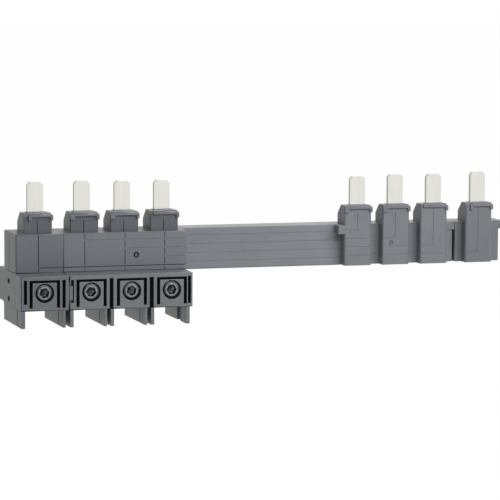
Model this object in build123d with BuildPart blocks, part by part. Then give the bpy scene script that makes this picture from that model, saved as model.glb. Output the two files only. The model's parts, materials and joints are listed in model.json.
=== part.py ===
from build123d import *
import os

# Four-pole insulated jumper bar for modular switchgear, in millimetres.
# Four screw terminals on the left feed four flat conductors, which run through the
# flat bar to four tabs on the right. A tab stands on every tower, left and right.
# The origin is in the middle of the neutral input tab, level with the tops of the tower
# caps. X runs along the bar, Y away from the screw heads and Z up.

# Poles
POLE_PITCH = 18.0
NEUTRAL_IN_GAP = 20.7
NEUTRAL_OUT_GAP = 21.6
IN_TO_OUT = 147.2
PHASES = 3

# Tabs and conductors
TAB_WIDTH = 7.1
# Each tab stands a little off its pole and ends a little high or low, as the conductors
# lie in their housings; the neutral one comes first
IN_TAB_SHIFTS = (0, 0.1, 0.25, 0.2)
OUT_TAB_SHIFTS = (0.05, 0.35, 0.25, 0.5)
IN_TAB_TOPS = (13.35, 13.45, 13.1, 13.1)
OUT_TAB_TOPS = (13.9, 12.9, 13.5, 13.3)
TAB_CORNER = 1.25
METAL = 2.0
LAYER_PITCH = 2.7
FIRST_LAYER = 5.9
STRIP_TOP = -13.4
STRIP_BOTTOM = -24.6
SHELF_TOP = -10.4
LOW_SHELF_TOP = -25.6
TONGUE_WIDTH = 9.0
TONGUE_Y = 9.0
TONGUE_BOTTOM = -39.2
SHEET = 0.5
SHEET_START = 14.0
SHEET_END = 7.3
SHEET_TOP = -12.8
SHEET_BOTTOM = -25.2

# Towers and caps
TOWER_LEFT = 6.0
TOWER_RIGHT = 6.6
TOWER_WALL = 1.2
IN_TOWER_FRONT = -4.7
OUT_TOWER_FRONT = -2.2
TOWER_BACK = 8.2
SLANT_START = -4.2
SLANT_TOP_BACK = 3.4
CAP_THICK = 1.7
CAP_RIGHT = 7.0
CAP_FLANGE = 0.9
CAP_FLANGE_TOP = -0.5
CAP_CORNER = 0.9
HOOK_BOTTOM = -3.2
HOOK_LEFT = 2.0
HOOK_RIGHT = 1.3
NOTCH_WIDE = 2.1
NOTCH_NARROW = 1.2
NOTCH_HOOK = 1.4
PLUG_DEPTH = 1.7
PLUG_BACK = 3.0
COLLAR_HEIGHT = 0.35
COLLAR_WALL = 0.6
COLLAR_BEVEL = 0.2

# Input blocks
BODY_TOP = -8.9
IN_LEFT = -10.0
IN_SEAM = 11.0
IN_END = 9.9
IN_FRONT = -6.9
IN_BACK = 16.6
IN_FLOOR = -26.0
IN_PART = 6.3
WALL = 1.5
TERM_LEFT = -10.4
TERM_END = 9.55
TERM_FRONT = -18.6
TERM_PART = -5.4
TERM_FLOOR = -41.1
FLANGE_BACK = 27.0
FLANGE_FLOOR = -40.4
ROOF = 1.75
ROOF_BACK = 4.6
LATCH_FRONT = 4.0
LATCH_BACK = 7.8
LATCH_HEIGHT = 2.1
LATCH_DEPTH = 1.6
LATCH_Z = (-29.3, -37.1)

# Walls that part the cables under the terminals
LEG_FLOOR = -48.5
LEG_BACK = 16.6
LEG_SLIT_FRONT = -10.7
LEG_SLIT_BACK = -9.8
LEG_LEFT = 9.3
LEG_LEFT_INNER = 7.8
LEG_RIGHT_INNER = 5.85
LEG_RIGHT = 7.05
FIRST_LEG_LEFT = 10.17
FIRST_LEG_INNER = 8.5
NEUTRAL_LEG_INNER = 8.1
NEUTRAL_LEG_RIGHT = 9.36
LAST_LEG_INNER = 6.5
LAST_LEG_RIGHT = 8.2
LEG_RECESS_FRONT = -8.9
LEG_RECESS_BACK = -3.9
LEG_RECESS_DEPTH = 1.1

# Terminal fronts
SCREW_SHIFT = 0.1
SCREW_Z = -33.4
PLATE_HALF = 5.33
SLOT = 1.4
SLOT_DEPTH = 3.6
PLATE_TOP = -28.9
PLATE_SLOT_TOP = -27.8
PLATE_SLOT_BOTTOM = -39.7
# The single slots beside the terminals, as x from the pole, width, top and bottom
NEUTRAL_SLOTS = ((-8.4, 1.4, -27.7, -38.05), (8.6, 1.4, -27.8, -39.9))
PHASE_SLOTS = ((9.0, 1.65, -27.6, -41.1), (8.95, 1.75, -27.6, -41.1),
               (8.0, 1.35, -27.6, -39.5))
DOVETAIL_LEFT = 11.75
DOVETAIL_RIGHT = 13.0
DOVETAIL_TOP = -27.9
DOVETAIL_BOTTOM = -37.9
TONGUE_TIP = 12.5
KEY_TOP = -30.55
KEY_BOTTOM = -36.8
KEY_DEPTH = 2.0
KEY_FIT = 0.1

# Clamps
CAGE_HALF = 7.25
CAGE_FRONT = -14.6
CAGE_BACK = 12.0
CAGE_TOP = -27.9
CAGE_BOTTOM = -39.6
CAGE_THREAD_WALL = 5.5
CAGE_WALL = 2.0
CAGE_FIT = 0.15
CAGE_ROUNDING = 1.0
THREAD_RADIUS = 4.0
RUNNING_FIT = 0.06
ACCESS_RADIUS = 4.15
SCREW_LENGTH = 16.0
SCREW_DEPTH = 0.5
# The bevel at the head, across the end face and along the screw
SCREW_BEVEL = 1.3
SCREW_BEVEL_DEPTH = 0.6
TIP_BEVEL = 0.8
SOCKET_HALF = 1.97
SOCKET_DEPTH = 3.4
SOCKET_POINT = 1.15
NECK_RADIUS = 1.6
NECK_LENGTH = 1.5
RIVET_RADIUS = 2.3
RIVET_LENGTH = 0.5
PLATE_THICK = 2.0
PLATE_HEIGHT = 9.6
PLATE_FIT = 0.08
AXIAL_FIT = 0.1
SINK_RADIUS = 2.45
SINK_DEPTH = 0.8

# Bar
BAR_FRONT = 3.3
BAR_BACK = 16.6
BAR_FLOOR = -27.25
BAR_PART = 9.8
BAR_WALL = 1.45
RIB = 2.0
RIBS = 4
RIB_TOP_EDGE = -12.7
RIB_BOTTOM_EDGE = -25.3

# Output blocks
OUT_FRONT = 2.7
OUT_PART = 3.7
OUT_FLOOR = -27.1
LUG_LENGTH = 2.8
LUG_FLOOR = -12.75
LUG_BACK = 3.1
PILLAR_END = 8.9
PHASE_OUT_END = 11.4
NEUTRAL_OUT_START = 9.3
NEUTRAL_OUT_END = 11.7
EAR_LENGTH = 2.1
EAR_FLOOR = -12.6
EAR_SETBACK = 0.4
SLEEVE_FRONT = 11.5

# Pole lines cut into the fronts; the level ones are finer, apart from the neutral one on
# the input blocks
GROOVE = 0.35
GROOVE_DEPTH = 0.25
FINE_GROOVE = 0.22
FINE_DEPTH = 0.14
LINE_TOP = -12.0
LINE_PITCH = 3.9
OUT_LINE_TOP = -11.0
OUT_LINE_PITCH = 3.8
LINE_GAP = 0.55
LINE_START = -3.6
LINE_END = -25.6
# The ring-shaped moulding marks, as x from the pole, z and radius
IN_PIP = (5.1, -19.0, 1.35)
OUT_PIP = (-2.0, -17.2, 1.05)
PIP_CORE = 0.5
PIP_DEPTH = 0.5

EDGE = 0.5
SMALL_EDGE = 0.3
# How near an edge lies to the place at which it is picked
NEAR = 0.01

# Shadow line along the joint of the shells, on the left end of the input block
JOINT_LINE = 0.35
JOINT_DEPTH = 0.3
JOINT_TOP = -10.6

phase_in = [NEUTRAL_IN_GAP + POLE_PITCH * i for i in range(PHASES)]
phase_out = [IN_TO_OUT + POLE_PITCH * i for i in range(PHASES)]
neutral_out = phase_out[-1] + NEUTRAL_OUT_GAP
in_right = phase_in[-1] + IN_END
term_right = phase_in[-1] + TERM_END
bar_right = phase_out[0] - TOWER_LEFT
pillar = phase_out[-1] + PILLAR_END
phase_out_right = phase_out[-1] + PHASE_OUT_END
neutral_out_left = neutral_out - NEUTRAL_OUT_START
neutral_out_right = neutral_out + NEUTRAL_OUT_END
ear_right = neutral_out_right + EAR_LENGTH
sheet_end = phase_out[-1] + SHEET_END
phase_slots = [(pole + x, *rest) for pole, (x, *rest) in zip(phase_in, PHASE_SLOTS)]
layers = [FIRST_LAYER + LAYER_PITCH * i for i in range(PHASES + 1)]
phase_lines = [LINE_TOP - LINE_PITCH * i for i in range(PHASES)]
neutral_line = LINE_TOP - LINE_PITCH * PHASES
out_phase_lines = [OUT_LINE_TOP - OUT_LINE_PITCH * i for i in range(PHASES)]
out_neutral_line = OUT_LINE_TOP - OUT_LINE_PITCH * PHASES
screw_head = TERM_FRONT + SCREW_DEPTH
slant = (TOWER_BACK - SLANT_TOP_BACK) / -SLANT_START
cavity_top = BODY_TOP - BAR_WALL
cavity_back = BAR_BACK - BAR_WALL
cavity_floor = BAR_FLOOR + BAR_WALL

os.makedirs("parts", exist_ok=True)


def save(piece, name):
    """Label a finished piece and write it under the same name."""
    piece.part.label = name
    export_step(piece.part, f"parts/{name}.step")


def block(x0, x1, y0, y1, z0, z1, mode=Mode.ADD):
    """A block given by its six faces."""
    with Locations(((x0 + x1) / 2, (y0 + y1) / 2, (z0 + z1) / 2)):
        Box(x1 - x0, y1 - y0, z1 - z0, mode=mode)


def cut(x0, x1, y0, y1, z0, z1):
    """A rectangular hollow given by its six faces."""
    block(x0, x1, y0, y1, z0, z1, mode=Mode.SUBTRACT)


def front(y):
    """The plane of a front face at y, with X to the right and Z up."""
    return Plane.XZ.offset(-y)


def side_prism(x0, x1, outline, mode=Mode.ADD):
    """A prism from x0 to x1 whose outline is a list of (y, z) corners."""
    with BuildSketch(Plane.YZ.offset(x0)) as profile:
        with BuildLine():
            Polyline(*outline, close=True)
        make_face()
    extrude(profile.sketch, amount=x1 - x0, mode=mode)


def slant_back(z):
    """Back face of a tower at height z."""
    return TOWER_BACK - max(z - SLANT_START, 0) * slant


def tower_outline(y0, y1, bottom):
    """Side outline of the part of a tower between y0 and y1, under the cap."""
    outline = [(y0, bottom)]
    if y0 < slant_back(-CAP_THICK):
        outline += [(y0, -CAP_THICK), (slant_back(-CAP_THICK), -CAP_THICK)]
    else:
        outline += [(y0, SLANT_START + (TOWER_BACK - y0) / slant)]
    if y1 < TOWER_BACK:
        outline += [(y1, min(-CAP_THICK, SLANT_START + (TOWER_BACK - y1) / slant))]
    else:
        outline += [(TOWER_BACK, SLANT_START)]
    return outline + [(y1, bottom)]


def grooves(y, lines, width, depth):
    """Cut grooves into the front face at y; each one is (x0, x1, z0, z1)."""
    with BuildSketch(front(y)) as marks:
        for x0, x1, z0, z1 in lines:
            with Locations(((x0 + x1) / 2, (z0 + z1) / 2)):
                Rectangle(max(x1 - x0, width), max(z1 - z0, width))
    extrude(marks.sketch, amount=-depth, mode=Mode.SUBTRACT)


def pole_lines(y, fine, deep):
    """Cut the fine and the deep lines into the front face at y."""
    if fine:
        grooves(y, fine, FINE_GROOVE, FINE_DEPTH)
    if deep:
        grooves(y, deep, GROOVE, GROOVE_DEPTH)


def broken_line(x, top, bottom, crossings):
    """An upright line that stops short of each line it crosses."""
    pieces = []
    for z in sorted(crossings, reverse=True):
        if bottom < z < top:
            pieces.append((x, x, z + LINE_GAP, top))
            top = z - LINE_GAP
    pieces.append((x, x, bottom, top))
    return pieces


def pip(y, pole, mark):
    """Cut a ring-shaped moulding mark into the front face at y, beside the pole."""
    x, z, radius = mark
    with BuildSketch(front(y)) as ring:
        with Locations((pole + x, z)):
            Circle(radius)
            Circle(PIP_CORE, mode=Mode.SUBTRACT)
    extrude(ring.sketch, amount=-PIP_DEPTH, mode=Mode.SUBTRACT)


def terminal_front(x, slots):
    """Cut the slots and the screw opening of the terminal at x into its front wall."""
    centre = x + SCREW_SHIFT
    outer = PLATE_HALF + SLOT
    height = PLATE_SLOT_TOP - PLATE_SLOT_BOTTOM
    with BuildSketch(front(TERM_FRONT)) as openings:
        for side in (-1, 1):
            slot_x = centre + side * (outer - SLOT / 2)
            with Locations((slot_x, PLATE_SLOT_TOP - height / 2)):
                Rectangle(SLOT, height)
        with Locations((centre, (PLATE_SLOT_TOP + PLATE_TOP) / 2)):
            Rectangle(2 * outer, PLATE_SLOT_TOP - PLATE_TOP)
        for slot_x, width, top, bottom in slots:
            with Locations((slot_x, (top + bottom) / 2)):
                Rectangle(width, top - bottom)
    extrude(openings.sketch, amount=-SLOT_DEPTH, mode=Mode.SUBTRACT)
    with BuildSketch(front(TERM_FRONT)) as access:
        with Locations((centre, SCREW_Z)):
            Circle(ACCESS_RADIUS)
    extrude(access.sketch, amount=TERM_FRONT - CAGE_FRONT, mode=Mode.SUBTRACT)


def clamp_pocket(x, y0, y1):
    """Hollow for the clamp cage at x between y0 and y1, open below for the cable."""
    centre = x + SCREW_SHIFT
    inner = CAGE_HALF - CAGE_WALL
    half = CAGE_HALF + CAGE_FIT
    cut(centre - half, centre + half, y0, y1, CAGE_BOTTOM - CAGE_FIT, CAGE_TOP + CAGE_FIT)
    cable_front = max(y0, CAGE_FRONT + CAGE_THREAD_WALL)
    cable_back = min(y1, CAGE_BACK - CAGE_WALL)
    cut(centre - inner, centre + inner, cable_front, cable_back, TERM_FLOOR, CAGE_BOTTOM)


def in_front_cover(name, poles, ends, term_ends, legs, slots, neutral):
    """Front shell of an input block: tower fronts, face, terminal fronts and wall fronts."""
    left, right = ends
    with BuildPart() as cover:
        block(left, right, IN_FRONT, IN_PART, IN_FLOOR, BODY_TOP)
        chamfer(cover.faces().sort_by(Axis.Y)[0].edges(), EDGE)
        block(*term_ends, TERM_FRONT, TERM_PART, TERM_FLOOR, IN_FLOOR)
        chamfer(cover.faces().sort_by(Axis.Y)[0].edges(), EDGE)
        for x in poles:
            side_prism(x - TOWER_LEFT, x + TOWER_RIGHT,
                       tower_outline(IN_TOWER_FRONT, IN_PART, BODY_TOP))
        upright = cover.edges().filter_by(Axis.Z)
        corners = upright.filter_by_position(Axis.Y, IN_TOWER_FRONT - NEAR, IN_TOWER_FRONT + NEAR)
        chamfer(corners, SMALL_EDGE)
        for x0, x1 in legs:
            block(x0, x1, TERM_FRONT, LEG_SLIT_FRONT, LEG_FLOOR, TERM_FLOOR)
        inner_left = left + WALL
        inner_right = right - WALL
        cut(inner_left, inner_right, TERM_PART, IN_PART, IN_FLOOR, cavity_top)
        for x in poles:
            cut(x - TOWER_LEFT + TOWER_WALL, x + TOWER_RIGHT - TOWER_WALL,
                IN_TOWER_FRONT + TOWER_WALL, IN_PART, cavity_top, -CAP_THICK)
            clamp_pocket(x, CAGE_FRONT, TERM_PART)
            terminal_front(x, slots)
        if neutral:
            block(IN_SEAM, TONGUE_TIP, TERM_FRONT, TERM_FRONT + KEY_DEPTH, KEY_BOTTOM, KEY_TOP)
            cut(left, left + JOINT_DEPTH, IN_PART - JOINT_LINE, IN_PART, IN_FLOOR, JOINT_TOP)
            fine = []
            deep = [(0, right, neutral_line, neutral_line)]
            deep += broken_line(0, BODY_TOP, LINE_END, [neutral_line])
        else:
            cut(inner_right, right, BAR_FRONT + BAR_WALL, IN_PART, IN_FLOOR, cavity_top)
            cut(term_ends[0], DOVETAIL_LEFT, TERM_FRONT, TERM_FRONT + KEY_DEPTH + KEY_FIT,
                KEY_BOTTOM - KEY_FIT, KEY_TOP + KEY_FIT)
            cut(DOVETAIL_LEFT, DOVETAIL_RIGHT, TERM_FRONT, TERM_FRONT + KEY_DEPTH + KEY_FIT,
                DOVETAIL_BOTTOM, DOVETAIL_TOP)
            fine = [(x, right, z, z) for x, z in zip(poles, phase_lines)]
            deep = [(left, right, neutral_line, neutral_line)]
            for i, x in enumerate(poles):
                deep += broken_line(x, BODY_TOP, LINE_END, phase_lines[:i + 1] + [neutral_line])
            pip(IN_FRONT, poles[1], IN_PIP)
        pole_lines(IN_FRONT, fine, deep)
        pole_lines(IN_TOWER_FRONT, [], [(x, x, BODY_TOP, LINE_START) for x in poles])
    save(cover, name)


def in_rear_housing(name, poles, ends, term_ends, legs, neutral):
    """Rear shell of an input block: back, clamp pockets, rail flange and wall backs."""
    left, right = ends
    with BuildPart() as housing:
        block(left, right, IN_PART, IN_BACK, IN_FLOOR, BODY_TOP)
        chamfer(housing.faces().sort_by(Axis.Y)[-1].edges().filter_by(Axis.X), EDGE)
        block(*term_ends, TERM_PART, IN_BACK, TERM_FLOOR, IN_FLOOR)
        block(*term_ends, IN_BACK, FLANGE_BACK, FLANGE_FLOOR, IN_FLOOR)
        chamfer(housing.faces().sort_by(Axis.Y)[-1].edges(), EDGE)
        for x in poles:
            side_prism(x - TOWER_LEFT, x + TOWER_RIGHT,
                       tower_outline(IN_PART, TOWER_BACK, BODY_TOP))
        for x0, x1 in legs:
            block(x0, x1, LEG_SLIT_BACK, LEG_BACK, LEG_FLOOR, TERM_FLOOR)
        inner_left = left + WALL
        inner_right = right - WALL
        cut(inner_left, inner_right, IN_PART, cavity_back, IN_FLOOR, cavity_top)
        inner = CAGE_HALF - CAGE_WALL
        for x in poles:
            centre = x + SCREW_SHIFT
            cut(x - TOWER_LEFT + TOWER_WALL, x + TOWER_RIGHT - TOWER_WALL,
                IN_PART, TOWER_BACK - TOWER_WALL, cavity_top, SLANT_START - TOWER_WALL / 2)
            clamp_pocket(x, TERM_PART, CAGE_BACK + CAGE_FIT)
            cut(centre - inner, centre + inner, ROOF_BACK, cavity_back, IN_FLOOR - ROOF, IN_FLOOR)
            cut(centre - CAGE_HALF, centre + CAGE_HALF, IN_BACK + WALL, FLANGE_BACK - WALL,
                FLANGE_FLOOR, IN_FLOOR - WALL)
        window = layers[-1] - METAL / 2 - CAGE_FIT
        if neutral:
            cut(inner_right, right, window, cavity_back, STRIP_BOTTOM - CAGE_FIT,
                STRIP_TOP + CAGE_FIT)
            for z in LATCH_Z:
                cut(TERM_LEFT, TERM_LEFT + LATCH_DEPTH, LATCH_FRONT, LATCH_BACK,
                    z - LATCH_HEIGHT, z)
        else:
            cut(left, inner_left, window, cavity_back, STRIP_BOTTOM - CAGE_FIT,
                STRIP_TOP + CAGE_FIT)
            cut(inner_right, right, IN_PART, cavity_back, IN_FLOOR, cavity_top)
            last = poles[-1] + LAST_LEG_INNER
            cut(last, last + LEG_RECESS_DEPTH, LEG_RECESS_FRONT, LEG_RECESS_BACK,
                LEG_FLOOR, TERM_FLOOR)
    save(housing, name)


def bar_cover(name, y0, y1, outer_face):
    """One of the two long covers of the bar, with ribs that keep the strips in place."""
    with BuildPart() as cover:
        block(in_right, bar_right, y0, y1, BAR_FLOOR, BODY_TOP)
        chamfer(cover.faces().sort_by(Axis.Y)[outer_face].edges().filter_by(Axis.X), EDGE)
        inner_front = max(y0, BAR_FRONT + BAR_WALL)
        inner_back = min(y1, cavity_back)
        cut(in_right, bar_right, inner_front, inner_back, cavity_floor, cavity_top)
        step = (bar_right - in_right) / RIBS
        for i in range(RIBS):
            x = in_right + step * (i + 1 / 2)
            block(x - RIB / 2, x + RIB / 2, inner_front, inner_back, RIB_TOP_EDGE, cavity_top)
            block(x - RIB / 2, x + RIB / 2, inner_front, inner_back, cavity_floor, RIB_BOTTOM_EDGE)
        if outer_face == 0:
            fine = [(in_right, bar_right, z, z) for z in phase_lines + [neutral_line]]
            pole_lines(BAR_FRONT, fine, [])
    save(cover, name)


def out_front_cover(name, poles, base_ends, turns, passing, extra, recess):
    """Front shell of an output block: thin face and the fronts of its towers. Each pole's
    line turns up to its tab on its own tower, at its height in turns, and crosses the towers
    before it; the passing lines cross them all."""
    with BuildPart() as cover:
        block(*base_ends, OUT_FRONT, OUT_PART, OUT_FLOOR, BODY_TOP)
        for x in poles:
            block(x - TOWER_LEFT, x + TOWER_RIGHT, OUT_TOWER_FRONT, OUT_PART, OUT_FLOOR, -CAP_THICK)
        upright = cover.edges().filter_by(Axis.Z)
        corners = upright.filter_by_position(Axis.Y, OUT_TOWER_FRONT - NEAR,
                                             OUT_TOWER_FRONT + NEAR)
        chamfer(corners, EDGE)
        for limits in extra:
            block(*limits)
        for x in poles:
            cut(x - TOWER_LEFT + TOWER_WALL, x + TOWER_RIGHT - TOWER_WALL,
                OUT_TOWER_FRONT + TOWER_WALL, OUT_PART, cavity_floor, -CAP_THICK)
        cut(*recess, OUT_FRONT, OUT_FRONT + EAR_SETBACK, EAR_FLOOR, BODY_TOP)
        for i, x in enumerate(poles):
            left = x - TOWER_LEFT
            fine = [(left, x, turns[i], turns[i])]
            fine += [(left, x + TOWER_RIGHT, z, z) for z in turns[i + 1:] + passing]
            pole_lines(OUT_TOWER_FRONT, fine, [(x, x, turns[i], LINE_START)])
        starts = [base_ends[0]] + [x + TOWER_RIGHT for x in poles]
        stops = [x - TOWER_LEFT for x in poles] + [base_ends[1]]
        for i, ends in enumerate(zip(starts, stops)):
            if ends[0] < ends[1]:
                pole_lines(OUT_FRONT, [(*ends, z, z) for z in turns[i:] + passing], [])
        if len(poles) > 1:
            pip(OUT_TOWER_FRONT, poles[1], OUT_PIP)
    save(cover, name)


def out_rear_housing(name, poles, ends, cavity_ends, windows, extra):
    """Rear shell of an output block: back, ends and the backs of its towers."""
    with BuildPart() as housing:
        block(*ends, OUT_PART, BAR_BACK, OUT_FLOOR, BODY_TOP)
        for limits in extra:
            block(*limits)
        chamfer(housing.faces().sort_by(Axis.Y)[-1].edges().filter_by(Axis.X), EDGE)
        for x in poles:
            side_prism(x - TOWER_LEFT, x + TOWER_RIGHT,
                       tower_outline(OUT_PART, TOWER_BACK, BODY_TOP))
        cut(*cavity_ends, OUT_PART, cavity_back, cavity_floor, cavity_top)
        for x in poles:
            cut(x - TOWER_LEFT + TOWER_WALL, x + TOWER_RIGHT - TOWER_WALL,
                OUT_PART, TOWER_BACK - TOWER_WALL, cavity_top, SLANT_START - TOWER_WALL / 2)
            cut(x - TOWER_LEFT + TOWER_WALL, x + TOWER_RIGHT - TOWER_WALL,
                OUT_PART, PLUG_BACK + TOWER_WALL, SLANT_START - TOWER_WALL / 2, -CAP_THICK)
        for limits in windows:
            cut(*limits)
    save(housing, name)


def conductor(name, pole, ends, layer):
    """One bent copper conductor: a flat strip on edge with a tab up at both ends and a
    tongue down into the clamp of its pole. An end is the tab's x and its top."""
    half = TAB_WIDTH / 2
    start = ends[0][0] - half
    finish = ends[1][0] + half
    with BuildPart() as metal:
        block(start, finish, layer - METAL / 2, layer + METAL / 2, STRIP_BOTTOM, STRIP_TOP)
        for x, top in ends:
            left = x - half
            right = x + half
            block(left, right, layer - METAL / 2, layer + METAL / 2, STRIP_TOP, SHELF_TOP)
            block(left, right, -METAL / 2, layer + METAL / 2, SHELF_TOP - METAL, SHELF_TOP)
            block(left, right, -METAL / 2, METAL / 2, SHELF_TOP, top)
            across = metal.edges().filter_by(Axis.Y)
            corners = across.filter_by_position(Axis.Z, top - NEAR, top + NEAR)
            chamfer(corners, TAB_CORNER)
        low = LOW_SHELF_TOP - METAL
        near = min(layer, TONGUE_Y) - METAL / 2
        far = max(layer, TONGUE_Y) + METAL / 2
        centre = pole + SCREW_SHIFT
        wide = TONGUE_WIDTH / 2
        block(centre - half, centre + half, layer - METAL / 2, layer + METAL / 2,
              low, STRIP_BOTTOM)
        block(centre - wide, centre + wide, near, far, low, LOW_SHELF_TOP)
        block(centre - wide, centre + wide, TONGUE_Y - METAL / 2, TONGUE_Y + METAL / 2,
              TONGUE_BOTTOM, low)
    save(metal, name)


def sheet(name, y):
    """Insulating sheet between two strips."""
    with BuildPart() as insulation:
        block(SHEET_START, sheet_end, y - SHEET / 2, y + SHEET / 2, SHEET_BOTTOM, SHEET_TOP)
    save(insulation, name)


def cage(name, x):
    """Steel clamp cage round the tongue and the cable, threaded in its front wall."""
    centre = x + SCREW_SHIFT
    inner = CAGE_HALF - CAGE_WALL
    with BuildPart() as clamp:
        block(centre - CAGE_HALF, centre + CAGE_HALF, CAGE_FRONT, CAGE_BACK,
              CAGE_BOTTOM, CAGE_TOP)
        fillet(clamp.edges().filter_by(Axis.Z), CAGE_ROUNDING)
        cut(centre - inner, centre + inner, CAGE_FRONT + CAGE_THREAD_WALL,
            CAGE_BACK - CAGE_WALL, CAGE_BOTTOM, CAGE_TOP)
        with BuildSketch(front(CAGE_FRONT)):
            with Locations((centre, SCREW_Z)):
                Circle(THREAD_RADIUS + RUNNING_FIT)
        extrude(amount=-CAGE_THREAD_WALL, mode=Mode.SUBTRACT)
    save(clamp, name)


def pressure_plate(name, x):
    """Plate that the screw presses on the cable; its hole holds the riveted screw tip."""
    centre = x + SCREW_SHIFT
    half = CAGE_HALF - CAGE_WALL - PLATE_FIT
    y0 = screw_head + SCREW_LENGTH + AXIAL_FIT
    y1 = y0 + PLATE_THICK
    with BuildPart() as plate:
        block(centre - half, centre + half, y0, y1,
              SCREW_Z - PLATE_HEIGHT / 2, SCREW_Z + PLATE_HEIGHT / 2)
        chamfer(plate.faces().sort_by(Axis.Y)[0].edges(), SMALL_EDGE)
        with BuildSketch(front(y0)):
            with Locations((centre, SCREW_Z)):
                Circle(NECK_RADIUS + RUNNING_FIT)
        extrude(amount=-PLATE_THICK, mode=Mode.SUBTRACT)
        with BuildSketch(front(y1)):
            with Locations((centre, SCREW_Z)):
                Circle(SINK_RADIUS)
        extrude(amount=SINK_DEPTH, mode=Mode.SUBTRACT)
    save(plate, name)


def screw(name, x):
    """Hexagon socket clamp screw with a necked tip riveted into the pressure plate."""
    centre = x + SCREW_SHIFT
    shoulder = screw_head + SCREW_LENGTH
    with BuildPart() as body:
        with BuildSketch(front(screw_head)):
            with Locations((centre, SCREW_Z)):
                Circle(THREAD_RADIUS)
        extrude(amount=-SCREW_LENGTH)
        head = body.faces().sort_by(Axis.Y)[0]
        chamfer(head.edges(), SCREW_BEVEL, SCREW_BEVEL_DEPTH, reference=head)
        chamfer(body.edges().sort_by(Axis.Y)[-1], TIP_BEVEL)
        with BuildSketch(front(shoulder)):
            with Locations((centre, SCREW_Z)):
                Circle(NECK_RADIUS)
        extrude(amount=-NECK_LENGTH)
        with BuildSketch(front(shoulder + NECK_LENGTH)):
            with Locations((centre, SCREW_Z)):
                Circle(RIVET_RADIUS)
        extrude(amount=-RIVET_LENGTH)
        with BuildSketch(front(screw_head)):
            with Locations((centre, SCREW_Z)):
                RegularPolygon(SOCKET_HALF, 6, major_radius=False)
        extrude(amount=-SOCKET_DEPTH, mode=Mode.SUBTRACT)
        with Locations(front(screw_head + SOCKET_DEPTH) * Location((centre, SCREW_Z, 0))):
            Cone(0, SOCKET_HALF, SOCKET_POINT, align=(Align.CENTER, Align.CENTER, Align.MAX),
                 mode=Mode.SUBTRACT)
    save(body, name)


def cap(name, x, tower_front, tab_x, notch, hook):
    """Cap on a tower, with a slot and a raised collar for the tab, a plug below and hooks."""
    lip = tower_front - CAP_FLANGE
    left = x - TOWER_LEFT
    right = x + CAP_RIGHT
    half_x = TAB_WIDTH / 2 + KEY_FIT
    half_y = METAL / 2 + KEY_FIT
    with BuildPart() as lid:
        side_prism(left, right, [(tower_front, -CAP_THICK), (tower_front, 0),
                                 (SLANT_TOP_BACK, 0), (slant_back(-CAP_THICK), -CAP_THICK)])
        chamfer(lid.edges().filter_by(Axis.Y).sort_by(Axis.X)[-2:].sort_by(Axis.Z)[-1], CAP_CORNER)
        block(left + notch, right - CAP_CORNER, lip, tower_front, -CAP_THICK, CAP_FLANGE_TOP)
        chamfer(lid.edges().filter_by(Axis.X).sort_by(Axis.Y)[:2].sort_by(Axis.Z)[-1], SMALL_EDGE)
        if hook:
            block(left + notch, left + notch + hook, lip, tower_front, HOOK_BOTTOM, -CAP_THICK)
        block(right - HOOK_RIGHT, right, lip, tower_front, HOOK_BOTTOM, -CAP_CORNER)
        block(x - TOWER_LEFT + TOWER_WALL + KEY_FIT, x + TOWER_RIGHT - TOWER_WALL - KEY_FIT,
              tower_front + TOWER_WALL + KEY_FIT, PLUG_BACK, -CAP_THICK - PLUG_DEPTH, -CAP_THICK)
        block(tab_x - half_x - COLLAR_WALL, tab_x + half_x + COLLAR_WALL,
              -half_y - COLLAR_WALL, half_y + COLLAR_WALL, 0, COLLAR_HEIGHT)
        chamfer(lid.faces().sort_by(Axis.Z)[-1].edges(), COLLAR_BEVEL)
        cut(tab_x - half_x, tab_x + half_x, -half_y, half_y,
            -CAP_THICK - PLUG_DEPTH, COLLAR_HEIGHT)
    save(lid, name)


def leg_pair(x):
    """The two cable walls of a terminal at x, each as its left and right face."""
    return [(x - LEG_LEFT, x - LEG_LEFT_INNER), (x + LEG_RIGHT_INNER, x + LEG_RIGHT)]


neutral_legs = [(-FIRST_LEG_LEFT, -FIRST_LEG_INNER), (NEUTRAL_LEG_INNER, NEUTRAL_LEG_RIGHT)]
phase_legs = leg_pair(phase_in[0]) + leg_pair(phase_in[1]) + leg_pair(phase_in[2])[:1]
phase_legs += [(phase_in[2] + LAST_LEG_INNER, phase_in[2] + LAST_LEG_RIGHT)]
neutral_ends = (IN_LEFT, IN_SEAM)
phase_ends = (IN_SEAM, in_right)
neutral_term = (TERM_LEFT, IN_SEAM)
phase_term = (IN_SEAM, term_right)

in_front_cover("neutral_in_front_cover", [0], neutral_ends, neutral_term, neutral_legs,
               NEUTRAL_SLOTS, True)
in_front_cover("phase_in_front_cover", phase_in, phase_ends, phase_term, phase_legs,
               phase_slots, False)
in_rear_housing("neutral_in_rear_housing", [0], neutral_ends, neutral_term, neutral_legs, True)
in_rear_housing("phase_in_rear_housing", phase_in, phase_ends, phase_term, phase_legs, False)

bar_cover("bar_front_cover", BAR_FRONT, BAR_PART, 0)
bar_cover("bar_rear_cover", BAR_PART, BAR_BACK, -1)

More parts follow.
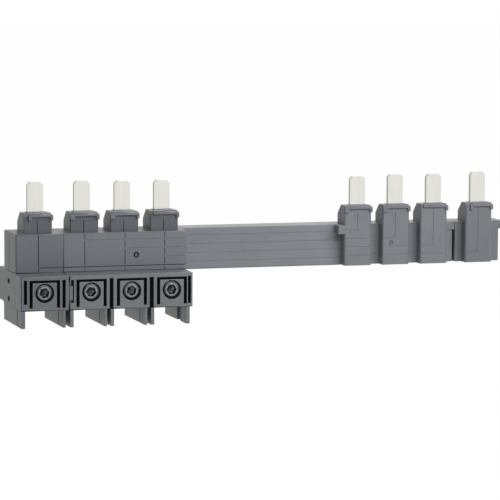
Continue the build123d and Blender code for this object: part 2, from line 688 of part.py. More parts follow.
strip_window = (layers[-1] - METAL / 2 - CAGE_FIT, cavity_back,
                STRIP_BOTTOM - CAGE_FIT, STRIP_TOP + CAGE_FIT)
lug = (bar_right - LUG_LENGTH, bar_right + EDGE, OUT_TOWER_FRONT, LUG_BACK, LUG_FLOOR, BODY_TOP)
between = (phase_out_right, neutral_out_left)
out_front_cover("phase_out_front_cover", phase_out, (bar_right, pillar), out_phase_lines,
                [out_neutral_line],
                [lug, (pillar, neutral_out_left, OUT_FRONT, OUT_PART, EAR_FLOOR, BODY_TOP)],
                (phase_out[-1] + TOWER_RIGHT, neutral_out_left))
out_rear_housing("phase_out_rear_housing", phase_out, (bar_right, phase_out_right),
                 (bar_right, pillar), [(pillar, neutral_out_left, *strip_window)],
                 [(*between, OUT_PART, BAR_BACK, EAR_FLOOR, BODY_TOP),
                  (*between, SLEEVE_FRONT, BAR_BACK, OUT_FLOOR, EAR_FLOOR)])
out_front_cover("neutral_out_front_cover", [neutral_out], (neutral_out_left, neutral_out_right),
                [out_neutral_line], [],
                [(neutral_out_right, ear_right, OUT_FRONT, OUT_PART, EAR_FLOOR, BODY_TOP)],
                (neutral_out + TOWER_RIGHT, ear_right))
out_rear_housing("neutral_out_rear_housing", [neutral_out], (neutral_out_left, neutral_out_right),
                 (neutral_out_left + WALL, neutral_out_right - WALL),
                 [(neutral_out_left, neutral_out_left + WALL, *strip_window)],
                 [(neutral_out_right, ear_right, OUT_PART, BAR_BACK, EAR_FLOOR, BODY_TOP)])

in_poles = [0] + phase_in
out_poles = [neutral_out] + phase_out
in_tabs = [(x + shift, top) for x, shift, top in zip(in_poles, IN_TAB_SHIFTS, IN_TAB_TOPS)]
out_tabs = [(x + shift, top) for x, shift, top in zip(out_poles, OUT_TAB_SHIFTS, OUT_TAB_TOPS)]

conductor("neutral_conductor", 0, (in_tabs[0], out_tabs[0]), layers[-1])
for i in range(PHASES):
    conductor(f"phase_{i + 1}_conductor", phase_in[i], (in_tabs[i + 1], out_tabs[i + 1]),
              layers[i])
    sheet(f"insulating_sheet_{i + 1}", layers[i] + LAYER_PITCH / 2)

for i, x in enumerate(in_poles):
    cage(f"clamp_cage_{i + 1}", x)
    pressure_plate(f"pressure_plate_{i + 1}", x)
    screw(f"clamp_screw_{i + 1}", x)

# The outer caps of each group have a notch at the left end of the flange, and all but the
# last have a hook there
notches = (NOTCH_WIDE, 0, 0, NOTCH_NARROW)
hooks = (NOTCH_HOOK, HOOK_LEFT, HOOK_LEFT, 0)
for i in range(PHASES + 1):
    cap(f"in_tower_cap_{i + 1}", in_poles[i], IN_TOWER_FRONT, in_tabs[i][0], notches[i], hooks[i])
    cap(f"out_tower_cap_{i + 1}", out_poles[i], OUT_TOWER_FRONT, out_tabs[i][0], notches[i],
        hooks[i])
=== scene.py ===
import json
import math

import bpy
from bpy.props import FloatProperty, FloatVectorProperty, PointerProperty
from mathutils import Matrix, Vector

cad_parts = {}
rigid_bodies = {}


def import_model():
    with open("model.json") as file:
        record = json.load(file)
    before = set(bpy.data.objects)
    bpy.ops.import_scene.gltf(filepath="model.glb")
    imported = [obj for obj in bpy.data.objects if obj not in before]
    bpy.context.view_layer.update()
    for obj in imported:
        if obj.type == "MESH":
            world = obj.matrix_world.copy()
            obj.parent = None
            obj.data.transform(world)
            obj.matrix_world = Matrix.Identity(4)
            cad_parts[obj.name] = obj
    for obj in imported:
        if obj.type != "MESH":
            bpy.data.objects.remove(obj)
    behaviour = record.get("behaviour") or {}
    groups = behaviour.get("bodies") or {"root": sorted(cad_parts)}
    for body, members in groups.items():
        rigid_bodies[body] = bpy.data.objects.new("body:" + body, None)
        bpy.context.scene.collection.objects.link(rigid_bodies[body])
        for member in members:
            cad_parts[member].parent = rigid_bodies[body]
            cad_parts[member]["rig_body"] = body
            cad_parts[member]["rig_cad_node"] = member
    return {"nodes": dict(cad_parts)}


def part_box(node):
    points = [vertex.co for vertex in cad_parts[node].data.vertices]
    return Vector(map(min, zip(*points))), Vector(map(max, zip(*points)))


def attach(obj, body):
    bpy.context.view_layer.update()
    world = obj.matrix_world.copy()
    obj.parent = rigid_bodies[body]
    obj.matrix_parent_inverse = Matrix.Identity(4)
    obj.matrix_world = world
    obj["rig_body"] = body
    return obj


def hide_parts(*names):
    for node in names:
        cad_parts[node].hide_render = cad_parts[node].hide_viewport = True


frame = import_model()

bl_info = {
    "name": "Insulated jumper bar",
    "version": (1, 0, 0),
    "blender": (4, 5, 0),
    "location": "View3D > Sidebar > Jumper bar",
    "description": "Dresses the solids of a four-pole jumper bar with their real finishes",
    "category": "Object",
}

MM = 0.001

HOUSINGS = [
    "neutral_in_front_cover", "neutral_in_rear_housing", "phase_in_front_cover",
    "phase_in_rear_housing", "bar_front_cover", "bar_rear_cover",
    "phase_out_front_cover", "phase_out_rear_housing",
    "neutral_out_front_cover", "neutral_out_rear_housing",
]
CAPS = [f"{side}_tower_cap_{i}" for side in ("in", "out") for i in range(1, 5)]
CONDUCTORS = ["neutral_conductor"] + [f"phase_{i}_conductor" for i in range(1, 4)]
SHEETS = [f"insulating_sheet_{i}" for i in range(1, 4)]
CAGES = [f"clamp_cage_{i}" for i in range(1, 5)]
PLATES = [f"pressure_plate_{i}" for i in range(1, 5)]
SCREWS = [f"clamp_screw_{i}" for i in range(1, 5)]

# Places in the solids are given in millimetres. This is the top of the input blocks, on
# which their towers stand.
BODY_TOP = -8.9

# Front faces with pole lines cut into them, and the depth of the lines
LINED_FACES = (-6.9, -4.7, -2.2, 2.7, 3.3)
LINE_DEPTH = 0.25

# Floors where shade is painted, those of the lines and of the input block's moulding mark, and
# how near to one of them a face has to lie
MARK_FLOOR = -6.4
SHADED_FLOORS = tuple(front + LINE_DEPTH for front in LINED_FACES) + (MARK_FLOOR,)
SHADED_FLOOR_FIT = 0.03

# The region of the slots and screw openings in the terminal fronts, where shade is painted
SLOTS_LOW = (-9.9, -18.35, -41.0)
SLOTS_HIGH = (65.7, -8.0, -27.7)

# The key socket of a screw, by its reach from the axis and where it starts and ends behind
# the screw's end face, and the bevel round that face, by its inner radius and its depth
SOCKET_REACH = 2.2
SOCKET_START = 0.02
SOCKET_END = 5.0
BEVEL_INNER = 2.75
BEVEL_DEPTH = 0.75

# The socket of each screw stands at its own angle in degrees, as the last turn of the key
# left it
SOCKET_TURNS = [12.0, -8.0, 20.0, 3.0]

# The thread groove: its depth, half the width of its root and how far it starts outside the
# crest, as shares of the pitch, its flank angle, and the steps of one turn
THREAD_DEPTH = 0.6134
ROOT_HALF = 0.125
THREAD_CLEARANCE = 0.08
FLANK = math.radians(30)
THREAD_STEPS = 32

# Vertices of a solid that are nearer to each other than this are one
MERGE_DISTANCE = 0.002

# An edge that turns by more than this is sharp, and is rounded in so many segments
SHARP = math.radians(50)
ROUNDING_SEGMENTS = 2

# How much of a face's normal points along an axis, from 0 to 1: a face that leans that way
# has more than the first, one on the broad side of a strip more than the second, one that
# faces that way more than the third, and one that is square to the axis more than the last
LEANING = 0.3
BROAD = 0.8
FACING = 0.9
SQUARE = 0.9999

# The soft boxes: name, place and aim in metres, side in metres, power in watts, and colour
LAMPS = (
    ("front soft box", (0.16, -0.34, 0.22), (0.14, 0.0, -0.02), 0.2, 0.76, "#FFFFFF"),
    ("side soft box", (0.45, -0.4, 0.32), (0.2, 0.0, 0.0), 0.3, 1.9, "#F2F5FF"),
    ("back soft box", (0.3, 0.54, 0.67), (0.1, 0.0, -0.02), 0.4, 3.3, "#FFEFD6"),
)

# The camera: its turn from straight ahead, its tilt down and its roll, the point in metres
# that it aims at, its lens and sensor in millimetres, and how many metres far it sees
CAMERA_YAW = math.radians(16.74)
CAMERA_TILT = math.radians(6.11)
CAMERA_ROLL = math.radians(0.28)
CAMERA_AIM = (0.09568, -0.0069, -0.01827)
CAMERA_LENS = 227.8
CAMERA_SENSOR = 36.0
CAMERA_REACH = 100.0

# The paper floor: its side and place in metres, the strength of its white, and the share of
# that white in what the camera sees of it
PAPER_SIDE = 12.0
PAPER_PLACE = (0.1, 0.0, -0.14)
PAPER_WHITE = 1.03
PAPER_SHARE = 0.96

# The surround's strength where it lights the object, and where it is seen
SURROUND_SOFT = 0.04
SURROUND_SEEN = 1.0


def linear(code):
    """Linear RGBA of an sRGB hex colour."""
    values = [int(code[i:i + 2], 16) / 255 for i in (1, 3, 5)]
    low = [v / 12.92 if v <= 0.04045 else ((v + 0.055) / 1.055) ** 2.4 for v in values]
    return (*low, 1.0)


def grey(level):
    """The same level in red, green and blue."""
    return (level, level, level, 1.0)


def two_tone(colour, share):
    """Ramp stops from a darker tone of a colour, where the noise is low, to the colour."""
    return [(0.3, (*(part * share for part in colour[:3]), 1.0)), (0.7, colour)]


def colour_property(name, description, code):
    """A colour that a user may change."""
    return FloatVectorProperty(name=name, description=description, default=linear(code), size=4,
                               min=0.0, max=1.0, subtype="COLOR")


def add(tree, kind, settings=None, links=None):
    """A node of that kind with its socket values, its settings or the stops of its ramp, and
    its inputs linked. A number names a socket by its place."""
    node = tree.nodes.new(kind)
    for name, value in (settings or {}).items():
        if isinstance(name, int) or name in node.inputs:
            node.inputs[name].default_value = value
        elif name == "color_ramp":
            for element, (position, colour) in zip(node.color_ramp.elements, value):
                element.position = position
                element.color = colour
        else:
            setattr(node, name, value)
    for name, source in (links or {}).items():
        tree.links.new(source, node.inputs[name])
    return node


def new_tree(owner):
    """The emptied node tree of a material or world."""
    owner.use_nodes = True
    owner.node_tree.nodes.clear()
    return owner.node_tree


def seen_rays(tree):
    """Socket with 1 for what is seen straight, mirrored or through a clear piece, else 0."""
    rays = add(tree, "ShaderNodeLightPath").outputs
    mirrored = add(tree, "ShaderNodeMath", {"operation": "MAXIMUM"},
                   {0: rays["Is Glossy Ray"], 1: rays["Is Transmission Ray"]})
    seen = add(tree, "ShaderNodeMath", {"operation": "MAXIMUM"},
               {0: rays["Is Camera Ray"], 1: mirrored.outputs["Value"]})
    return seen.outputs["Value"]


def moulded_polyamide(name, colour, roughness):
    """Glass-filled polyamide 6, spark-eroded mould: an even grey with a fine satin grain,
    faint flow clouds and a soft, wide highlight."""
    material = bpy.data.materials.new(name)
    tree = new_tree(material)
    place = add(tree, "ShaderNodeTexCoord").outputs["Object"]
    # Flow clouds of about 25 mm
    clouds = add(tree, "ShaderNodeTexNoise", {"Scale": 40.0, "Detail": 3.0}, {"Vector": place})
    tone = add(tree, "ShaderNodeValToRGB", {"color_ramp": two_tone(colour, 0.875)},
               {"Fac": clouds.outputs["Fac"]})
    # Spark-eroded grain of 0.05 mm, drawn at 0.35 mm so that it shows
    grain = add(tree, "ShaderNodeTexNoise", {"Scale": 2800.0, "Detail": 2.0}, {"Vector": place})
    bump = add(tree, "ShaderNodeBump", {"Strength": 0.12, "Distance": 0.00008},
               {"Height": grain.outputs["Fac"]})
    shader = add(tree, "ShaderNodeBsdfPrincipled", {"Roughness": roughness, "IOR": 1.53},
                 {"Base Color": tone.outputs["Color"], "Normal": bump.outputs["Normal"]})
    add(tree, "ShaderNodeOutputMaterial", None, {"Surface": shader.outputs["BSDF"]})
    return material


def tin_plated_copper(colour):
    """Rolled copper strip, bright tin plated: a warm pale silver with faint rolling lines
    along the tab."""
    material = bpy.data.materials.new("Tin plated copper strip")
    tree = new_tree(material)
    place = add(tree, "ShaderNodeTexCoord").outputs["Object"]
    # Rolling lines 0.02 mm apart, drawn at 0.4 mm so that they show, along Z
    stretch = add(tree, "ShaderNodeMapping", {"Scale": (2500.0, 2500.0, 60.0)}, {"Vector": place})
    lines = add(tree, "ShaderNodeTexNoise", {"Scale": 1.0, "Detail": 3.0},
                {"Vector": stretch.outputs["Vector"]})
    tone = add(tree, "ShaderNodeValToRGB", {"color_ramp": two_tone(colour, 0.953)},
               {"Fac": lines.outputs["Fac"]})
    rough = add(tree, "ShaderNodeValToRGB", {"color_ramp": [(0.2, grey(0.22)), (0.8, grey(0.26))]},
                {"Fac": lines.outputs["Fac"]})
    bump = add(tree, "ShaderNodeBump", {"Strength": 0.08, "Distance": 0.00003},
               {"Height": lines.outputs["Fac"]})
    shader = add(tree, "ShaderNodeBsdfPrincipled", {"Metallic": 1.0},
                 {"Base Color": tone.outputs["Color"], "Roughness": rough.outputs["Color"],
                  "Normal": bump.outputs["Normal"]})
    add(tree, "ShaderNodeOutputMaterial", None, {"Surface": shader.outputs["BSDF"]})
    return material


def dull_plated_metal(name, colour, roughness, share=0.78):
    """Zinc plated and passivated steel, pressed or turned, and the sheared edge of tinned
    strip: a grey metal with a slightly mottled sheen. The share is its darker tone's."""
    material = bpy.data.materials.new(name)
    tree = new_tree(material)
    place = add(tree, "ShaderNodeTexCoord").outputs["Object"]
    # Zinc crystals of 0.6 mm
    mottle = add(tree, "ShaderNodeTexNoise", {"Scale": 1600.0, "Detail": 4.0}, {"Vector": place})
    tone = add(tree, "ShaderNodeValToRGB", {"color_ramp": two_tone(colour, share)},
               {"Fac": mottle.outputs["Fac"]})
    bump = add(tree, "ShaderNodeBump", {"Strength": 0.1, "Distance": 0.00003},
               {"Height": mottle.outputs["Fac"]})
    shader = add(tree, "ShaderNodeBsdfPrincipled", {"Metallic": 1.0, "Roughness": roughness},
                 {"Base Color": tone.outputs["Color"], "Normal": bump.outputs["Normal"]})
    add(tree, "ShaderNodeOutputMaterial", None, {"Surface": shader.outputs["BSDF"]})
    return material


def polyester_film(colour):
    """Pressed polyester film: milky, smooth and faintly glossy."""
    material = bpy.data.materials.new("Polyester insulating film")
    tree = new_tree(material)
    place = add(tree, "ShaderNodeTexCoord").outputs["Object"]
    # Clouds of about 12 mm in the film
    clouds = add(tree, "ShaderNodeTexNoise", {"Scale": 80.0}, {"Vector": place})
    tone = add(tree, "ShaderNodeValToRGB", {"color_ramp": two_tone(colour, 0.86)},
               {"Fac": clouds.outputs["Fac"]})
    shader = add(tree, "ShaderNodeBsdfPrincipled", {"Roughness": 0.3, "IOR": 1.6},
                 {"Base Color": tone.outputs["Color"]})
    add(tree, "ShaderNodeOutputMaterial", None, {"Surface": shader.outputs["BSDF"]})
    return material


def deselect():
    """Leave object mode with nothing selected."""
    if bpy.context.object and bpy.context.object.mode != "OBJECT":
        bpy.ops.object.mode_set(mode="OBJECT")
    bpy.ops.object.select_all(action="DESELECT")


def activate(piece):
    """Select one piece alone."""
    deselect()
    piece.select_set(True)
    bpy.context.view_layer.objects.active = piece


def paint(piece, material):
    """One material all over a piece."""
    piece.data.materials.clear()
    piece.data.materials.append(material)


def further_material(piece, material, belongs, *place):
    """A further material on the faces that pass the test, which may need a place."""
    piece.data.materials.append(material)
    for polygon in piece.data.polygons:
        if belongs(polygon, *place):
            polygon.material_index = len(piece.data.materials) - 1


def body_name(node):
    """The CAD body that a node belongs to."""
    return frame["nodes"][node]["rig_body"]


def screw_axis(node):
    """The point on a screw's axis at its head."""
    low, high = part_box(node)
    return Vector(((low[0] + high[0]) / 2, low[1], (low[2] + high[2]) / 2))


def off_axis(face, axis):
    """How far a face lies from a screw's axis."""
    return math.hypot(face.center.x - axis.x, face.center.z - axis.z)


def in_socket(face, axis):
    """Whether a face lies in the key socket of the screw on that axis."""
    return (off_axis(face, axis) < SOCKET_REACH * MM
            and SOCKET_START * MM < face.center.y - axis.y < SOCKET_END * MM)


def at_drill_point(face, axis):
    """Whether a face lies at the drilled bottom of that key socket."""
    return in_socket(face, axis) and face.normal.y < -LEANING


def on_bevel(face, axis):
    """Whether a face lies on the bevel round the end of the screw on that axis."""
    return off_axis(face, axis) > BEVEL_INNER * MM and face.center.y - axis.y < BEVEL_DEPTH * MM


def on_tower(face):
    """Whether a face of an input block lies on one of its towers, where shade is painted."""
    return face.center.z > BODY_TOP * MM


def on_shaded_floor(face):
    """Whether a face is the floor of a deep pole line or of the moulding mark, where shade is
    painted.
    """
    return face.normal.y < -FACING and any(abs(face.center.y / MM - floor) < SHADED_FLOOR_FIT
                                           for floor in SHADED_FLOORS)


def in_slots(face):
    """Whether a face lies in a slot or a screw opening of the terminal fronts, where shade is
    painted.
    """
    return all(low * MM < part < high * MM
               for low, part, high in zip(SLOTS_LOW, face.center, SLOTS_HIGH))


def on_sheared_edge(face):
    """Whether a face of a strip lies along its sheared left or right edge."""
    return abs(face.normal.x) > LEANING and abs(face.normal.y) < BROAD


def touches_lines(mesh, edge):
    """Whether an edge ends on a front face with pole lines or in one of the lines."""
    for i in edge.vertices:
        depth = round(mesh.vertices[i].co.y / MM, 2)
        if any(face <= depth <= face + LINE_DEPTH for face in LINED_FACES):
            return True
    return False


def merged_copy(node):
    """A copy of a solid with the vertices of its faces joined, ready to be dressed."""
    activate(frame["nodes"][node])
    bpy.ops.object.duplicate()
    piece = bpy.context.object
    piece.parent = None
    piece.matrix_world = Matrix.Identity(4)
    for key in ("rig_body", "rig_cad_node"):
        if key in piece:
            del piece[key]
    piece.name = node + "_dressed"
    bpy.ops.object.mode_set(mode="EDIT")
    bpy.ops.mesh.select_mode(type="EDGE")
    bpy.ops.mesh.select_all(action="SELECT")
    bpy.ops.mesh.remove_doubles(threshold=MERGE_DISTANCE * MM)
    bpy.ops.object.mode_set(mode="OBJECT")
    return piece


def round_edges(piece, width, lined=False):
    """Round the edges as the tool or the plating leaves them. On a lined solid the crisp
    edges of the thin pole lines stay as they are."""
    activate(piece)
    bpy.ops.object.mode_set(mode="EDIT")
    bpy.ops.mesh.select_all(action="DESELECT")
    bpy.ops.mesh.edges_select_sharp(sharpness=SHARP)
    bpy.ops.object.mode_set(mode="OBJECT")
    if lined:
        for edge in piece.data.edges:
            edge.select = edge.select and not touches_lines(piece.data, edge)
    bpy.ops.object.mode_set(mode="EDIT")
    bpy.ops.transform.edge_bevelweight(value=1.0)
    bpy.ops.object.mode_set(mode="OBJECT")
    bpy.ops.object.modifier_add(type="BEVEL")
    bevel = piece.modifiers[-1]
    bevel.width = width
    bevel.segments = ROUNDING_SEGMENTS
    bevel.limit_method = "WEIGHT"
    bevel.use_clamp_overlap = False
    bevel.miter_outer = "MITER_ARC"
    bpy.ops.object.modifier_apply(modifier=bevel.name)


def settle_shading(piece):
    """Shade the rounded edges and turned faces smooth, and keep the square faces flat."""
    activate(piece)
    bpy.ops.object.shade_smooth_by_angle(angle=SHARP)
    for polygon in piece.data.polygons:
        if max(abs(part) for part in polygon.normal) > SQUARE:
            polygon.use_smooth = False


def stand_for(piece, node, material):
    """Put a dressed piece in the place of its solid."""
    paint(piece, material)
    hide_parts(node)
    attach(piece, body_name(node))


def rounded(node, width, material, lined=False):
    """Dress a solid with rounded edges and its material."""
    piece = merged_copy(node)
    round_edges(piece, width, lined)
    settle_shading(piece)
    stand_for(piece, node, material)
    return piece


class JumperBarFinish(bpy.types.PropertyGroup):
    """Sizes and colours of the finish"""

    housing_rounding: FloatProperty(
        name="Housing rounding", description="Radius along the moulded edges",
        default=0.18 * MM, min=0.0, max=0.5 * MM, unit="LENGTH")
    metal_rounding: FloatProperty(
        name="Clamp rounding", description="Radius along the edges of the plated clamps",
        default=0.15 * MM, min=0.0, max=0.5 * MM, unit="LENGTH")
    strip_rounding: FloatProperty(
        name="Strip rounding", description="Radius along the stamped edges of the strips",
        default=0.1 * MM, min=0.0, max=0.5 * MM, unit="LENGTH")
    thread_pitch: FloatProperty(
        name="Thread pitch", description="Pitch of the clamp screws",
        default=1.25 * MM, min=0.5 * MM, max=2.0 * MM, unit="LENGTH")
    plastic_roughness: FloatProperty(
        name="Plastic roughness", description="Roughness of the moulded polyamide",
        default=0.46, min=0.0, max=1.0, subtype="FACTOR")
    camera_distance: FloatProperty(
        name="Camera distance", description="From the camera to the middle of the object",
        default=1.3975, unit="LENGTH")
    neutral_grey: colour_property("Neutral shells", "Grey of the neutral blocks", "#707478")
    phase_grey: colour_property("Phase shells", "Grey of the three-phase blocks", "#787C80")
    bar_grey: colour_property("Bar covers", "Grey of the covers of the bar", "#80858A")
    # Painted shade: the towers get a darker grey than the rest of their shell
    tower_shade_grey: colour_property("Tower shade", "Grey with painted shade on the input blocks' towers", "#595D61")
    cap_grey: colour_property("Tower caps", "Grey of the caps on the towers", "#73777B")
    tin_colour: colour_property("Tin plate", "Colour of the plated strips", "#E1E0D9")
    zinc_colour: colour_property("Zinc plate", "Colour of the plated clamps", "#BDBFC0")
    screw_colour: colour_property("Screws", "Colour of the turned screws", "#8C8F91")
    film_colour: colour_property("Film", "Colour of the insulating film", "#E6E1D0")


class JUMPERBAR_OT_housings(bpy.types.Operator):
    """Round and finish the ten moulded housing shells"""

    bl_idname = "jumperbar.housings"
    bl_label = "Housing shells"

    def execute(self, context):
        finish = context.scene.jumper_bar
        colours = {"neutral": finish.neutral_grey, "phase": finish.phase_grey,
                   "bar": finish.bar_grey}
        greys = {part: moulded_polyamide(f"Polyamide, dark grey, {part} shells", colour,
                                         finish.plastic_roughness)
                 for part, colour in colours.items()}
        # Painted shade: a darker copy of the polyamide for the towers of the input blocks
        tower = moulded_polyamide("Polyamide, dark grey, painted shade on the towers", finish.tower_shade_grey,
                                  finish.plastic_roughness)
        # Painted shade: a dull, nearly black polyamide in the floors of the lines and the mark,
        # and in the slots
        painted_shade = moulded_polyamide("Painted shade in lines and slots", linear("#242629"), 0.75)
        for node in HOUSINGS:
            shell_grey = greys[node.split("_")[0]]
            piece = rounded(node, finish.housing_rounding, shell_grey, lined=True)
            # Painted shade on the towers
            if "_in_" in node:
                further_material(piece, tower, on_tower)
            # Painted shade in the floors of the lines and the moulding mark
            if "front" in node:
                further_material(piece, painted_shade, on_shaded_floor)
            # Painted shade in the slots and screw openings
            if "_in_front" in node:
                further_material(piece, painted_shade, in_slots)
        return {"FINISHED"}


class JUMPERBAR_OT_caps(bpy.types.Operator):
    """Round and finish the eight tower caps"""

    bl_idname = "jumperbar.caps"
    bl_label = "Tower caps"

    def execute(self, context):
        finish = context.scene.jumper_bar
        cap_grey = moulded_polyamide("Polyamide, dark grey, polished mould", finish.cap_grey,
                                     finish.plastic_roughness)
        for node in CAPS:
            rounded(node, finish.housing_rounding, cap_grey)
        return {"FINISHED"}


class JUMPERBAR_OT_conductors(bpy.types.Operator):
    """Round and plate the four conductors and lay the film between them"""

    bl_idname = "jumperbar.conductors"
    bl_label = "Conductors and film"

    def execute(self, context):
        finish = context.scene.jumper_bar
        tin = tin_plated_copper(finish.tin_colour)
        film = polyester_film(finish.film_colour)
        # The shears leave a torn edge that the tin only dulls
        edge = dull_plated_metal("Sheared edge of the tinned strip", linear("#B4B2AA"), 0.5)
        for node in CONDUCTORS:
            piece = rounded(node, finish.strip_rounding, tin)
            further_material(piece, edge, on_sheared_edge)
        for node in SHEETS:
            paint(frame["nodes"][node], film)
        return {"FINISHED"}


class JUMPERBAR_OT_clamps(bpy.types.Operator):
    """Round and plate the clamp cages and pressure plates"""

    bl_idname = "jumperbar.clamps"
    bl_label = "Clamp cages and pressure plates"

    def execute(self, context):
        finish = context.scene.jumper_bar
        zinc = dull_plated_metal("Zinc plated pressed steel", finish.zinc_colour, 0.38)
        for node in CAGES + PLATES:
            rounded(node, finish.metal_rounding, zinc)
        return {"FINISHED"}


class JUMPERBAR_OT_screws(bpy.types.Operator):
    """Cut the thread of the clamp screw once and set four screws in the clamps"""

    bl_idname = "jumperbar.screws"
    bl_label = "Clamp screws"

    def execute(self, context):
        finish = context.scene.jumper_bar
        steel = dull_plated_metal("Zinc plated turned steel", finish.screw_colour, 0.42)
        # Painted shade darkens the punched socket and the turned bevel, and a painted
        # highlight keeps the drill point bright
        socket_shade = dull_plated_metal("Steel of the key socket, painted shade", linear("#4A4D50"), 0.24, 0.6)
        socket_glint = dull_plated_metal("Drill point of the key socket, painted highlight", linear("#8A8D90"),
                                    0.3, 0.61)
        bevel_shade = dull_plated_metal("Bevel of the screw, painted shade", linear("#5A5D60"), 0.55, 0.7)
        first = merged_copy(SCREWS[0])
        round_edges(first, finish.metal_rounding)
        self.cut_thread(first, SCREWS[0], finish.thread_pitch)
        settle_shading(first)
        copies = [first]
        for node in SCREWS[1:]:
            activate(first)
            bpy.ops.object.duplicate()
            copies.append(bpy.context.object)
        start = screw_axis(SCREWS[0])
        for piece, node, turn in zip(copies, SCREWS, SOCKET_TURNS):
            axis = screw_axis(node)
            piece.name = node + "_dressed"
            activate(piece)
            bpy.ops.object.mode_set(mode="EDIT")
            bpy.ops.mesh.select_all(action="SELECT")
            bpy.ops.transform.translate(value=axis - start)
            bpy.ops.transform.rotate(value=math.radians(turn), orient_axis="Y",
                                     orient_type="GLOBAL", center_override=axis)
            bpy.ops.object.mode_set(mode="OBJECT")
            stand_for(piece, node, steel)
            # Painted shade in the key socket
            further_material(piece, socket_shade, in_socket, axis)
            # Painted highlight on the drill point
            further_material(piece, socket_glint, at_drill_point, axis)
            # Painted shade on the bevel
            further_material(piece, bevel_shade, on_bevel, axis)
        return {"FINISHED"}

    def cut_thread(self, piece, node, pitch):
        """Cut a right-hand thread groove of 60 degrees into the turned blank."""
        low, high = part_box(node)
        axis = screw_axis(node)
        crest = (high[0] - low[0]) / 2
        root = crest - THREAD_DEPTH * pitch
        outer = crest + THREAD_CLEARANCE * pitch
        inner_half = ROOT_HALF * pitch
        outer_half = inner_half + (outer - root) * math.tan(FLANK)
        # The section of the groove, with its wide side outwards
        deselect()
        bpy.ops.mesh.primitive_plane_add(size=1.0, location=(axis.x, low[1] - pitch, axis.z))
        cutter = bpy.context.object
        bpy.ops.object.mode_set(mode="EDIT")
        bpy.ops.transform.resize(value=(outer - root, 2 * inner_half, 1.0))
        bpy.ops.mesh.select_all(action="DESELECT")
        bpy.ops.object.mode_set(mode="OBJECT")
        for vertex in cutter.data.vertices:
            vertex.select = vertex.co.x > 0
        bpy.ops.object.mode_set(mode="EDIT")
        bpy.ops.transform.resize(value=(1.0, outer_half / inner_half, 1.0))
        bpy.ops.mesh.select_all(action="SELECT")
        bpy.ops.transform.translate(value=((outer + root) / 2, 0.0, 0.0))
        bpy.ops.mesh.delete(type="ONLY_FACE")
        bpy.ops.object.mode_set(mode="OBJECT")
        # Its run round the screw, closed at both four-sided ends
        bpy.ops.object.modifier_add(type="SCREW")
        helix = cutter.modifiers[-1]
        helix.axis = "Y"
        helix.angle = math.radians(360)
        helix.screw_offset = pitch
        helix.iterations = math.ceil((high[1] - low[1]) / pitch)
        helix.steps = THREAD_STEPS
        bpy.ops.object.modifier_apply(modifier=helix.name)
        bpy.ops.object.mode_set(mode="EDIT")
        bpy.ops.mesh.select_all(action="SELECT")
        bpy.ops.mesh.fill_holes(sides=4)
        bpy.ops.mesh.normals_make_consistent(inside=False)
        bpy.ops.object.mode_set(mode="OBJECT")
        uncut = len(piece.data.polygons)
        activate(piece)
        bpy.ops.object.modifier_add(type="BOOLEAN")
        groove = piece.modifiers[-1]
        groove.operation = "DIFFERENCE"
        groove.object = cutter
        groove.solver = "EXACT"
        bpy.ops.object.modifier_apply(modifier=groove.name)
        activate(cutter)
        bpy.ops.object.delete()
        if len(piece.data.polygons) <= uncut:
            raise RuntimeError("The thread groove left the screw as it was")


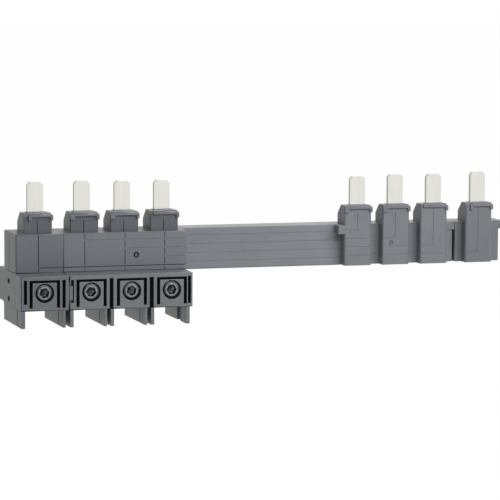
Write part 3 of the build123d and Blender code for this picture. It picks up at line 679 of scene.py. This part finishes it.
class JUMPERBAR_OT_stage(bpy.types.Operator):
    """Set the floor, the soft light and the camera"""

    bl_idname = "jumperbar.stage"
    bl_label = "Floor, light and camera"

    def execute(self, context):
        scene = context.scene
        scene.view_settings.view_transform = "Standard"
        self.add_floor()
        self.add_world(scene)
        self.add_lamps()
        self.add_camera(scene)
        return {"FINISHED"}

    def add_floor(self):
        """A pale floor, which the camera sees as white with the object's shadow on it."""
        deselect()
        bpy.ops.mesh.primitive_plane_add(size=PAPER_SIDE, location=PAPER_PLACE)
        floor = bpy.context.object
        floor.name = "floor"
        bpy.ops.object.transform_apply(location=True)
        material = bpy.data.materials.new("Pale paper floor")
        tree = new_tree(material)
        part = add(tree, "ShaderNodeMath", {"operation": "MULTIPLY", 1: PAPER_SHARE},
                   {0: seen_rays(tree)})
        paper = add(tree, "ShaderNodeBsdfDiffuse", {"Color": linear("#F2F2F0")})
        white = add(tree, "ShaderNodeEmission", {"Color": grey(1.0), "Strength": PAPER_WHITE})
        mix = add(tree, "ShaderNodeMixShader", None,
                  {"Fac": part.outputs["Value"], 1: paper.outputs["BSDF"],
                   2: white.outputs["Emission"]})
        add(tree, "ShaderNodeOutputMaterial", None, {"Surface": mix.outputs["Shader"]})
        paint(floor, material)

    def add_world(self, scene):
        """A white surround, at full strength only for what is seen or mirrored."""
        world = bpy.data.worlds.new("Studio surround")
        scene.world = world
        tree = new_tree(world)
        soft = add(tree, "ShaderNodeBackground", {"Color": grey(1.0), "Strength": SURROUND_SOFT})
        white = add(tree, "ShaderNodeBackground", {"Color": grey(1.0), "Strength": SURROUND_SEEN})
        mix = add(tree, "ShaderNodeMixShader", None,
                  {"Fac": seen_rays(tree), 1: soft.outputs["Background"],
                   2: white.outputs["Background"]})
        add(tree, "ShaderNodeOutputWorld", None, {"Surface": mix.outputs["Shader"]})

    def add_lamps(self):
        """Soft boxes: two small ones near the front and the right, and a warm one high
        behind."""
        for name, place, aimed, side, power, colour in LAMPS:
            deselect()
            bpy.ops.object.light_add(type="AREA", location=place)
            lamp = bpy.context.object
            lamp.name = name
            lamp.data.size = side
            lamp.data.energy = power
            lamp.data.color = linear(colour)[:3]
            aim = Vector(aimed) - Vector(place)
            lamp.rotation_euler = aim.to_track_quat("-Z", "Y").to_euler()

    def add_camera(self, scene):
        """The photograph's viewpoint: 17 degrees to the left and 6 degrees above."""
        forward = Vector((math.sin(CAMERA_YAW) * math.cos(CAMERA_TILT),
                          math.cos(CAMERA_YAW) * math.cos(CAMERA_TILT), -math.sin(CAMERA_TILT)))
        right = Vector((math.cos(CAMERA_YAW), -math.sin(CAMERA_YAW), 0.0))
        up = right.cross(forward)
        turned_right = right * math.cos(CAMERA_ROLL) + up * math.sin(CAMERA_ROLL)
        turned_up = up * math.cos(CAMERA_ROLL) - right * math.sin(CAMERA_ROLL)
        deselect()
        bpy.ops.object.camera_add()
        camera = bpy.context.object
        place = Vector(CAMERA_AIM) - forward * scene.jumper_bar.camera_distance
        axes = Matrix((turned_right, turned_up, -forward)).transposed()
        camera.matrix_world = Matrix.Translation(place) @ axes.to_4x4()
        camera.data.sensor_width = CAMERA_SENSOR
        camera.data.lens = CAMERA_LENS
        camera.data.clip_end = CAMERA_REACH
        scene.camera = camera


class JUMPERBAR_PT_panel(bpy.types.Panel):
    """Lists the pieces in the order they are dressed"""

    bl_label = "Jumper bar"
    bl_idname = "JUMPERBAR_PT_panel"
    bl_space_type = "VIEW_3D"
    bl_region_type = "UI"
    bl_category = "Jumper bar"

    def draw(self, context):
        finish = context.scene.jumper_bar
        for name in finish.__annotations__:
            self.layout.prop(finish, name)
        for operator in OPERATORS:
            self.layout.operator(operator.bl_idname)


OPERATORS = (
    JUMPERBAR_OT_housings,
    JUMPERBAR_OT_caps,
    JUMPERBAR_OT_conductors,
    JUMPERBAR_OT_clamps,
    JUMPERBAR_OT_screws,
    JUMPERBAR_OT_stage,
)
CLASSES = (JumperBarFinish, *OPERATORS, JUMPERBAR_PT_panel)


def register():
    """Add the properties, operators and panel."""
    for cls in CLASSES:
        bpy.utils.register_class(cls)
    bpy.types.Scene.jumper_bar = PointerProperty(type=JumperBarFinish)


def unregister():
    """Take them away again."""
    del bpy.types.Scene.jumper_bar
    for cls in reversed(CLASSES):
        bpy.utils.unregister_class(cls)


def main():
    """Dress the object piece by piece."""
    register()
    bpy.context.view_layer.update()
    bpy.ops.jumperbar.housings()
    bpy.ops.jumperbar.caps()
    bpy.ops.jumperbar.conductors()
    bpy.ops.jumperbar.clamps()
    bpy.ops.jumperbar.screws()
    bpy.ops.jumperbar.stage()


if __name__ == "__main__":
    main()
